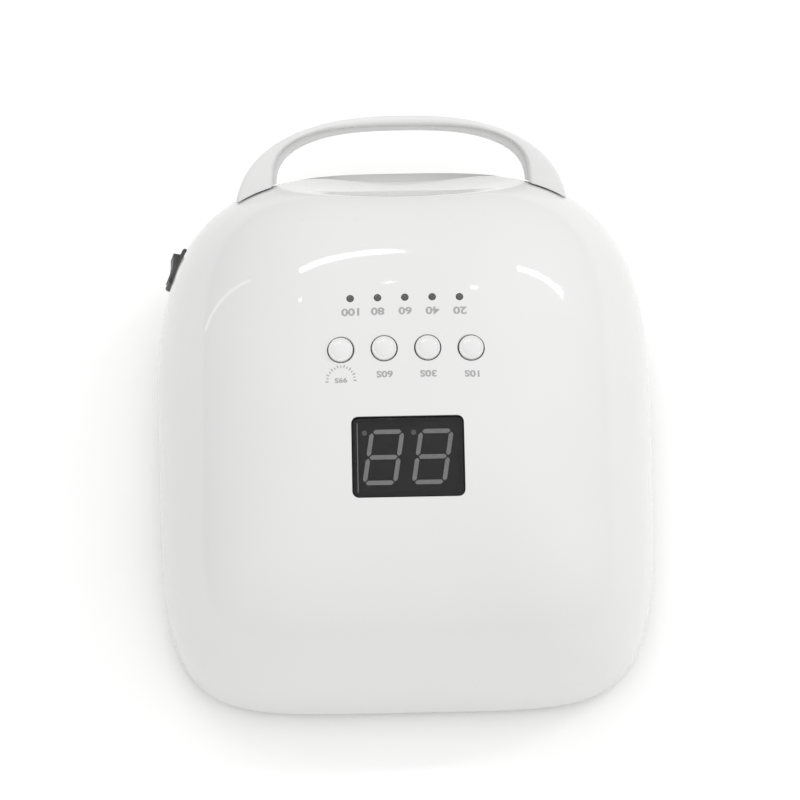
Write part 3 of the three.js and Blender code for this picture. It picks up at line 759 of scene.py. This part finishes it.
# ---------------------------------------------------------------- tunnel liner, LEDs and sensor

LED_BOARDS = [
    ("top", 0, 64, 90, (-15, 0, 15), 44),
    ("right", 47.75, 49.75, 45, (0,), 16),
    ("left", -47.75, 49.75, 135, (0,), 16),
    ("low_right", 60, 19.5, 0, (0,), 14),
    ("low_left", -60, 19.5, 180, (0,), 14),
]
LED_ROWS = (-38, -10, 18, 46)
SENSOR_Y = -62


def board_frame(x, z, facing):
    """A frame on the tunnel's wall: x along the tunnel, z out through the wall."""
    angle = radians(facing)
    return frame_at((x, 0, z), (0, 1, 0), (-sin(angle), 0, cos(angle)), (cos(angle), 0, sin(angle)))


def tunnel_liner():
    """The grey tunnel with its rim, trimmed by the hull and holed for LEDs and sensor."""
    tube = mesh_object("tunnel_liner", *tunnel_loft([(LINER_WALL, -FAR), (LINER_WALL, 64)]), [LINER])
    tidied(tube)
    rim = cutter(tunnel_loft([(RIM_WIDTH, -FAR), (RIM_WIDTH, -40)]), LINER)
    carved(rim, [("DIFFERENCE", cutter(hull_shape(plain_surface(RIM_DEPTH), 200, 70), LINER))])
    levels = [(0.0, -FAR), (0.0, 52), (-0.4, 55.5), (-1.6, 58.6), (-3.6, 60.9), (-6.2, TUNNEL_END)]
    hull = cutter(hull_shape(plain_surface(SKIN), 300, 110), LINER)
    below = cutter(box((-FAR, FAR), (-FAR, FAR), (-30, BODY_BOTTOM)), LINER)
    steps = [("UNION", rim), ("INTERSECT", hull), ("DIFFERENCE", cutter(tunnel_loft(levels), LINER))]
    steps.append(("DIFFERENCE", below))
    eye = turned([(0, 60), (2, 60), (2, 72), (0, 72)], HULL_FRAME, 24, 0, SENSOR_Y)
    steps.append(("DIFFERENCE", cutter(eye, LINER)))
    for _, x, z, facing, across, _ in LED_BOARDS:
        where = board_frame(x, z, facing)
        # each LED sits in a hole with a small dished edge
        hole = [(0, -2), (3.5, -2), (3.5, 0.02), (3.0, 0.45), (2.8, 0.9), (2.8, 4), (0, 4)]
        for row in LED_ROWS:
            for offset in across:
                steps.append(("DIFFERENCE", cutter(turned(hole, where, 28, row, offset), LINER)))
    carved(tube, steps)
    shaded(tube, 28)
    return settled(tube, "housing", "liner", "inner_liner")


def led_board(name, x, z, facing, across, width):
    """A white board behind the liner, with a clear-domed LED for each hole."""
    where = board_frame(x, z, facing)
    plate = mesh_object(
        f"led_strip_{name}",
        *softened_box((102, width, 1.6), (4, 0, 3.6), 0.3, where),
        [WHITE_BOARD, LED],
    )
    domes = []
    profile = [(0, -1.5), (0.8, -1.42), (1.5, -1.15), (2.05, -0.7), (2.4, -0.1)]
    profile += [(2.5, 0.5), (2.5, 2.6), (2.7, 2.7), (2.7, 3), (0, 3)]
    for row in LED_ROWS:
        for offset in across:
            domes.append(turned(profile, where, 28, row, offset))
    bulbs = inlay(domes, [WHITE_BOARD, LED], 1)
    return settled(merged(plate, bulbs), "housing", "led_board", f"led_board_{name}")


def hand_sensor():
    eye = [(0, 63), (0.6, 63.06), (1.1, 63.3), (1.5, 63.7), (1.65, 64.2), (1.65, 67), (0, 67)]
    shapes = [turned(eye, HULL_FRAME, 28, 0, SENSOR_Y)]
    shapes.append(softened_box((10, 6, 4.4), (0, SENSOR_Y, 68.7), 0.5, HULL_FRAME))
    made = tidied(mesh_object("sensor_eye", *joined(shapes), [BLACK]))
    return settled(made, "housing", "black_plastic", "hand_sensor")


tunnel_liner()
for board in LED_BOARDS:
    led_board(*board)
hand_sensor()


# ---------------------------------------------------------------- handle


def arch(half_width, base, rise, power, angle):
    """A point on a superelliptical arch that stands on a base line."""
    c, s = cos(angle), max(sin(angle), 0.0)
    x = abs(c) ** (2 / power) * half_width
    return (x if c > 0 else -x, base + rise * s ** (2 / power))


def handle_stations(outer, inner, steps=140):
    """Pairs of points on the outer and inner arch, from one leg's foot to the other's."""
    leg = []
    for step in range(6):
        share = step / 6
        on_outer = (outer[0], LEG_FOOT + share * (outer[1] - LEG_FOOT))
        on_inner = (inner[0], LEG_FOOT + share * (inner[1] - LEG_FOOT))
        leg.append((on_outer, on_inner))
    pairs = list(leg)
    for step in range(steps + 1):
        angle = pi * step / steps
        pairs.append((arch(*outer, angle), arch(*inner, angle)))
    for on_outer, on_inner in reversed(leg):
        pairs.append(((-on_outer[0], on_outer[1]), (-on_inner[0], on_inner[1])))
    return pairs


def handle_section(on_outer, on_inner, depths, corners):
    """A rounded section between two points: corners are outer and inner, above, then below."""
    low, high = depths
    width = ((on_outer[0] - on_inner[0]) ** 2 + (on_outer[1] - on_inner[1]) ** 2) ** 0.5
    ring = []
    for inward, lower, radius, start in (
        (0, 0, corners[0], 180),
        (1, 0, corners[1], 270),
        (1, 1, corners[2], 0),
        (0, 1, corners[3], 90),
    ):
        radius = min(radius, 0.47 * width)
        for bend in range(8):
            angle = radians(start + 90 * bend / 7)
            across = (width - radius if inward else radius) + radius * cos(angle)
            down = (high - radius if lower else low + radius) + radius * sin(angle)
            share = across / width
            x = on_outer[0] + (on_inner[0] - on_outer[0]) * share
            y = on_outer[1] + (on_inner[1] - on_outer[1]) * share
            ring.append((x, y, down))
    return ring


def handle_piece(name, outer, inner, depths, corners, node):
    """A handle half: a rounded section swept round between an outer and an inner arch."""
    rings = [handle_section(*pair, depths, corners) for pair in handle_stations(outer, inner)]
    points, faces = loft(rings)
    made = tidied(mesh_object(name, placed(points, handle_frame), faces, [HANDLE]))
    carved(made, [("DIFFERENCE", cutter(hull_shape(plain_surface(-GAP), 360, 130), HANDLE))])
    shaded(made, 32)
    return settled(made, "housing", "handle", node)


# each arch is its half width, base, rise and roundness
UPPER_OUTER = (60.5, 6, 38.5, 2.42)
UPPER_INNER = (46.4, 20, 21, 3)
LOWER_OUTER = (59.5, 6, 37.5, 2.42)
LOWER_INNER = (45.4, 20, 19.8, 2.55)
handle_piece("grip_top", UPPER_OUTER, UPPER_INNER, (0, 4.75), (2.6, 1.9, 0.12, 0.12), "handle_upper")
handle_piece("grip_under", LOWER_OUTER, LOWER_INNER, (4.8, 12), (0.12, 1.1, 3, 3), "handle_lower")


# ---------------------------------------------------------------- display

DIGIT_HEIGHT = 18.7
DIGIT_WIDTH = 11.75
DIGIT_PITCH = 16.6
DIGIT_STROKE = 1.5
DIGIT_LEAN = tan(radians(9.2))
DIGIT_NOTCH = 0.34  # cut off each end of a stroke
POINT_X = 6.3
POINT_Y = -8.3
POINT_RADIUS = 0.9
FACE_DEPTH = -3.4


def display_window():
    """The smoked window: a sheet that follows the crown, with a rounded edge and a skirt."""
    rings = []
    scale = cos(radians(DISPLAY_TILT))
    levels = [(0, -1.9), (0, -0.5), (0.08, -0.28), (0.25, -0.15), (0.5, -0.1)]
    levels += [(inset, -0.1) for inset in (1.5, 3, 5, 7, 9, 11, 13.2)]
    for inset, out in levels:
        outline = rounded_rectangle(DISPLAY_WIDTH, DISPLAY_LENGTH, DISPLAY_CORNER, inset, 5)
        plan = [(x, DISPLAY_Y + y * scale) for x, y in outline]
        rings.append(on_crown(plan, out))
    points, faces = loft(rings)
    made = tidied(mesh_object("display_window", points, faces[:-2] + faces[-1:], [WINDOW]), 50)
    return settled(made, "housing", "display_window", "display_lens")


def digit_strokes(middle):
    """The seven strokes of a digit with mitred ends, in the display's frame."""
    half_width = (DIGIT_WIDTH - DIGIT_STROKE) / 2
    half_height = (DIGIT_HEIGHT - DIGIT_STROKE) / 2
    places = [(0, 1, 0), (0, 0, 0), (0, -1, 0), (-1, 0.5, 1), (1, 0.5, 1), (-1, -0.5, 1), (1, -0.5, 1)]
    strokes = []
    for across, along, upright in places:
        length = half_height if upright else 2 * half_width
        end = length / 2 - DIGIT_NOTCH
        half = DIGIT_STROKE / 2
        flat = end - half
        outline = [(-end, 0), (-flat, half), (flat, half), (end, 0), (flat, -half), (-flat, -half)]
        if upright:
            outline = [(y, x) for x, y in outline][::-1]
        moved = []
        for x, y in outline:
            x += across * half_width
            y += along * half_height
            moved.append((middle + x + y * DIGIT_LEAN, y))
        strokes.append(prism(moved, FACE_DEPTH - 0.1, FACE_DEPTH + 0.25, display_frame))
    return strokes


def display_face():
    """The module in its black mask, with a pale strip at its frame edge that is a painted highlight,
    two digits and two points.
    """
    materials = [MODULE, STROKE, POINT]
    shapes = [
        softened_box((34, 24, 6.3), (0, 0, FACE_DEPTH - 3.15), 0.3, display_frame),
        softened_box((39.4, 29, 1), (0, 0, FACE_DEPTH - 1.2), 0.2, display_frame),
    ]
    block = mesh_object("display_face", *joined(shapes), materials)
    strokes = []
    points = []
    for middle in (-DIGIT_PITCH / 2, DIGIT_PITCH / 2):
        strokes += digit_strokes(middle)
        low, high = FACE_DEPTH - 0.1, FACE_DEPTH + 0.1
        dot = [(0, low), (POINT_RADIUS, low), (POINT_RADIUS, high), (0, high)]
        points.append(turned(dot, display_frame, 24, middle + POINT_X, POINT_Y))
    # a pale strip along the module's +X edge: the edge is real, but its paleness is a painted highlight
    depths = (FACE_DEPTH - 0.5, FACE_DEPTH + 0.1)
    strokes.append(box((16.9, 17.2), (-11.8, 11.8), depths, display_frame))
    made = merged(block, inlay(strokes, materials, 1), inlay(points, materials, 2))
    return settled(made, "housing", "black_plastic", "display_module")


display_window()
display_face()


# ---------------------------------------------------------------- keys, battery lights and print


KEY_FIGURES = {"height": 2.3, "y": 5.75}
LAST_FIGURES = {"height": 1.75, "y": 7.3}
LAMP_FIGURES = {"height": 2.7, "y": -16.2}
FIGURE_STRETCH = 1.3
FIGURE_WEIGHT = 0.03
PRINT_LIFT = 0.03


def key_button(name, where):
    """A round key with a skirt under the shell and a low dome inside a rounded rim."""
    profile = [(0, -5), (1.5, -5), (1.5, -4.4), (5.1, -4.4), (5.1, -3.7), (4.22, -3.6), (4.2, 0.1)]
    profile += [(4.16, 0.3), (4.05, 0.47), (3.9, 0.58), (3.72, 0.62), (3.55, 0.58), (3.42, 0.5)]
    profile += [(3.28, 0.5), (3.1, 0.58), (2.6, 0.76), (1.8, 0.91), (0.9, 0.98), (0, 1)]
    made = tidied(mesh_object(f"key_button_{name}", *turned(profile, where, 64), [KEY]), 50)
    return settled(made, f"key_{name}", "shell", f"key_cap_{name}")


def battery_light(index, where):
    """A dark light pipe with a small flange, just below the crown."""
    profile = [(0, -9.7), (1.05, -9.7), (1.05, -1), (1.22, -0.9), (1.22, -0.4), (1.16, -0.3)]
    profile += [(0.95, -0.2), (0.65, -0.13), (0.3, -0.09), (0, -0.08)]
    made = tidied(mesh_object(f"battery_light_{index + 1}", *turned(profile, where, 32), [LAMP]), 50)
    return settled(made, "housing", "indicator", f"battery_lamp_{index + 1}")


def printed(text, x, y, height):
    """Generic figures laid on the crown, to be read from the front."""
    font = bpy.data.curves.new("figures", "FONT")
    font.body = text
    font.align_x = "CENTER"
    font.offset = FIGURE_WEIGHT
    font.resolution_u = 4
    source = bpy.data.objects.new("figures", font)
    bpy.context.scene.collection.objects.link(source)
    graph = bpy.context.evaluated_depsgraph_get()
    graph.update()
    flat = bpy.data.meshes.new_from_object(source.evaluated_get(graph), depsgraph=graph)
    bpy.data.objects.remove(source)
    corners = np.array([vertex.co[:2] for vertex in flat.vertices])
    faces = [list(face.vertices) for face in flat.polygons]
    low, high = corners.min(0), corners.max(0)
    scale = height / (high[1] - low[1])
    corners = (corners - (low + high) / 2) * (FIGURE_STRETCH * scale, scale)
    return on_crown(corners + (x, y), PRINT_LIFT), faces


def print_ticks():
    """A fan of short ticks round the key side of the last figure."""
    shapes = []
    centre_x, centre_y = 1.5 * KEY_PITCH, 7.2
    for step in range(15):
        angle = radians(176 + 188 * step / 14)
        outward = np.array([cos(angle), sin(angle)])
        across = np.array([-outward[1], outward[0]]) * 0.19
        inner, outer = outward * 4.25, outward * (5.3 if step % 2 == 0 else 4.95)
        plan = np.array([inner - across, outer - across, outer + across, inner + across])
        shapes.append((on_crown(plan + (centre_x, centre_y), PRINT_LIFT), [[0, 1, 2, 3]]))
    return shapes


def control_print():
    """The keys' seconds, the lights' percentages and the ticks, as one inked piece."""
    shapes = print_ticks()
    for index, name in enumerate(KEYS):
        figures = LAST_FIGURES if name == KEYS[-1] else KEY_FIGURES
        shapes.append(printed(f"{name}S", (index - 1.5) * KEY_PITCH, **figures))
    for index in range(5):
        shapes.append(printed(str(20 * (index + 1)), (index - 2) * LAMP_PITCH, **LAMP_FIGURES))
    made = mesh_object("control_print", *joined(shapes), [INK])
    return settled(made, "housing", "indicator")


for name, where in zip(KEYS, key_frames):
    key_button(name, where)
for index, where in enumerate(lamp_frames):
    battery_light(index, where)
control_print()


# ---------------------------------------------------------------- power switch and charging inlet


def rocker_bezel():
    """The switch's rounded bezel and well, with its body behind the wall."""
    rings = []
    for inset, z in ((0.2, -0.9), (0, -0.75), (0, 0.2), (0.12, 0.6), (0.45, 0.93), (0.9, 1.1)):
        rings.append(raised(rounded_rectangle(BEZEL_LENGTH, BEZEL_WIDTH, 1.9, inset), z))
    for inset, z in ((0, 1.08), (0.1, 0.92), (0.15, 0.5), (0.15, -6.2)):
        rings.append(raised(rounded_rectangle(12.7, 8.1, 0.7, inset), z))
    points, faces = loft(rings)
    shapes = [(placed(points, switch_frame), faces[:-2] + faces[-1:])]
    shapes.append(softened_box((13.6, 9.2, 5.5), (0, 0, -9.2), 0.4, switch_frame))
    made = tidied(mesh_object("rocker_bezel", *joined(shapes), [BLACK]), 40)
    return settled(made, "housing", "black_plastic", "rocker_housing")


def rocker_button():
    """The rocker, its two faces meeting in a soft valley, with rounded rims."""
    slope = tan(radians(ROCKER_TILT))
    outline = []
    for step in range(8, -9, -1):
        x = 4.95 * step / 8
        outline.append((x, 2.88 + (x * x + 5) ** 0.5 * slope))
    outline += [(-5.18, 3.95), (-5.24, 3.6), (-5.6, -0.8)]
    outline += [(3.8 * cos(radians(angle)), 3.8 * sin(radians(angle))) for angle in range(200, 341, 10)]
    outline += [(5.6, -0.8), (5.24, 3.6), (5.18, 3.95)]
    rings = []
    for shrink, z in ((0.3, -3.5), (0.09, -3.4), (0, -3.15), (0, 3.15), (0.09, 3.4), (0.3, 3.5)):
        ring = []
        for x, y in outline:
            ring.append((x * (1 - shrink / 5.6), y - (shrink if y > 2 else 0), z))
        rings.append(ring)
    points, faces = loft(rings)
    raise_frame = Matrix.Translation((0, 0, ROCKER_PIVOT))
    on_edge = Matrix.Rotation(pi / 2, 4, "X")
    rocked = Matrix.Rotation(radians(-ROCKER_TILT), 4, "Z")
    where = switch_frame @ raise_frame @ on_edge @ rocked
    made = tidied(mesh_object("rocker_button", placed(points, where), faces, [ROCKER]), 40)
    return settled(made, "power_rocker", "black_plastic", "rocker")


def charging_inlet():
    """The inlet's barrel with a steel pin, and its block behind the wall."""
    barrel = [(0, -13), (JACK_RADIUS, -13), (JACK_RADIUS, -0.75), (3.8, -0.58), (3.6, -0.5)]
    barrel += [(3.05, -0.5), (2.88, -0.6), (2.8, -0.8), (2.8, -9.5), (0, -9.5)]
    pin = [(0, -10), (0.9, -10), (0.9, -2.7), (0.78, -2.4), (0.45, -2.2), (0, -2.15)]
    shapes = [turned(barrel, jack_frame, 48)]
    shapes.append(softened_box((9, 10, 10.2), (0, 0, -8.9), 0.4, jack_frame))
    made = mesh_object("charging_inlet", *joined(shapes), [BLACK, STEEL])
    contact = inlay([turned(pin, jack_frame, 24)], [BLACK, STEEL], 1)
    return settled(merged(made, contact), "housing", "black_plastic", "charge_jack")


rocker_bezel()
rocker_button()
charging_inlet()


# ---------------------------------------------------------------- tray and feet


def hull_ring(inset, z, around=300):
    """The hull's outline at a height, moved in by inset."""
    bearings = np.arange(around) * 2 * pi / around
    climb = atan2(z, HULL_HEIGHT)
    ring = hull_points(inset, bearings, np.full(around, climb))
    ring[:, 2] = z
    return ring


def base_tray():
    """The tray's plate, with pockets for the feet and three sunk panels underneath."""
    levels = [(2.6, 2.05), (1.95, TRAY_BOTTOM), (1.7, 2.15), (1.55, 2.5)]
    levels += [(1.55, 4.6), (1.68, 4.9), (1.95, TRAY_TOP)]
    rings = [hull_ring(inset, z) for inset, z in levels]
    made = tidied(mesh_object("tray_plate", *loft(rings), [TRAY]), 40)
    steps = []
    for x, y in FEET:
        pocket = turned([(0, 0), (8.7, 0), (8.3, 2.4), (8.3, 3), (0, 3)], HULL_FRAME, 40, x, y)
        steps.append(("DIFFERENCE", cutter(pocket, TRAY)))
    for width, length, x, y in ((70, 22, 0, -52), (70, 22, 0, 52), (96, 50, 0, 0)):
        outline = [(x + px, y + py) for px, py in rounded_rectangle(width, length, 8)]
        steps.append(("DIFFERENCE", cutter(prism(outline, 0, 2.5), TRAY)))
    carved(made, steps)
    shaded(made, 32)
    return settled(made, "tray", "tray", "base_tray")


def tray_pad(index, x, y):
    """A rubber foot with a shallow dish in its underside."""
    profile = [(0, 0.25), (3.2, 0.25), (3.5, 0.02), (6.8, 0), (7.4, 0.12)]
    profile += [(7.8, 0.5), (8, 1), (8, 2.7), (0, 2.7)]
    shape = turned(profile, HULL_FRAME, 48, x, y)
    made = tidied(mesh_object(f"tray_pad_{index + 1}", *shape, [RUBBER]))
    return settled(made, "tray", "rubber", f"tray_foot_{index + 1}")


base_tray()
for index, (x, y) in enumerate(FEET):
    tray_pad(index, x, y)


# ---------------------------------------------------------------- CAD nodes that stay

CARRIED = {
    "bottom_frame": TRAY,
    "tray_magnet": STEEL,
    "frame_magnet": STEEL,
    "housing_screw": STEEL,
    "handle_screw": STEEL,
    "display_board": GREEN_BOARD,
    "key_board": GREEN_BOARD,
    "key_plunger": BLACK,
    "tact_switch": BLACK,
    "battery_cell": CELL,
    "battery_cradle": BLACK,
}
for node_name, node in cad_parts.items():
    for start, material in CARRIED.items():
        if node_name.startswith(start):
            for slot_entry in node.material_slots:
                slot_entry.material = material


# ---------------------------------------------------------------- floor, light and camera


def floor_material():
    nodes = Nodes("floor")
    nodes.coloured(nodes.noise(3, 4), grey(0.94), grey(0.955))
    nodes.roughened(nodes.noise(60, 3), 0.6, 0.75)
    nodes.bumped(nodes.noise(300, 3), 2e-5)
    return nodes.material


def studio_floor():
    outline = rounded_rectangle(12000, 12000, 400)
    faces = [list(range(len(outline)))]
    mesh_object("studio_floor", raised(outline, 0), faces, [floor_material()])


# an axis of the look direction, the two values it runs between, and the brightness at each
WORLD_FADES = (("X", 1, -1, 0.77, 1.1), ("Y", -1, 1, 0.9, 1.13), ("Z", 0, 0.8, 0.64, 1.22))


def area_light(name, start, end, width, power, aim=(0, 0, 50)):
    """A strip light from start to end, in hull millimetres, that faces a point."""
    first, last, target = (Vector(point) + Vector((0, HULL_Y, 0)) for point in (start, end, aim))
    light = bpy.data.lights.new(name, "AREA")
    light.shape = "RECTANGLE"
    light.size = (last - first).length * MM
    light.size_y = width * MM
    light.energy = power
    made = bpy.data.objects.new(name, light)
    bpy.context.scene.collection.objects.link(made)
    middle = (first + last) / 2
    back = (middle - target).normalized()
    along = (last - first).normalized()
    along = (along - back * along.dot(back)).normalized()
    turned_to = Matrix((along, back.cross(along), back)).transposed().to_4x4()
    turned_to.translation = middle * MM
    made.matrix_world = turned_to


def studio_world():
    """Even white surroundings, brighter overhead, on the -X side and on the +Y side."""
    world = bpy.data.worlds.new("studio")
    world.use_nodes = True
    tree = world.node_tree
    background = tree.nodes["Background"]
    background.inputs["Color"].default_value = (1, 1, 1, 1)
    direction = tree.nodes.new("ShaderNodeTexCoord").outputs["Generated"]
    split = tree.nodes.new("ShaderNodeSeparateXYZ")
    tree.links.new(direction, split.inputs["Vector"])
    strength = None
    for axis, first, last, dim, bright in WORLD_FADES:
        fade = mapped(tree, split.outputs[axis], dim, bright, first, last)
        if strength is None:
            strength = fade
            continue
        product = tree.nodes.new("ShaderNodeMath")
        product.operation = "MULTIPLY"
        tree.links.new(strength, product.inputs[0])
        tree.links.new(fade, product.inputs[1])
        strength = product.outputs["Value"]
    tree.links.new(strength, background.inputs["Strength"])
    bpy.context.scene.world = world
    bpy.context.scene.view_settings.view_transform = "Standard"


def studio_light():
    studio_world()
    area_light("strip_left", (494, -513, 1096), (-11, -703, 1099), 46, 1.4)
    area_light("strip_right", (-609, -508, 1039), (-1023, -381, 703), 42, 1.4)
    area_light("spot_middle", (10, -426, 1230), (0, -426, 1230), 12, 0.012)
    area_light("spot_right", (-255, -369, 1221), (-305, -357, 1219), 14, 0.06)
    area_light("spot_left", (545, -295, 1152), (520, -302, 1157), 12, 0.02)
    area_light("reflector_left", (1207, -402, 84), (946, -500, 743), 24, 0.12)


def photo_camera():
    data = bpy.data.cameras.new("photo_camera")
    data.lens = 93.2
    data.sensor_width = 36
    data.clip_end = 50
    made = bpy.data.objects.new("photo_camera", data)
    bpy.context.scene.collection.objects.link(made)
    target = Vector((0.00184, -0.00426, 0.045))
    made.location = (0.00990, 0.3127, 0.7247)
    facing = (target - made.location).to_track_quat("-Z", "Y").to_matrix().to_4x4()
    roll = Matrix.Rotation(radians(0.25), 4, "Z")
    made.matrix_world = Matrix.Translation(made.location) @ facing @ roll
    bpy.context.scene.camera = made


studio_floor()
studio_light()
photo_camera()
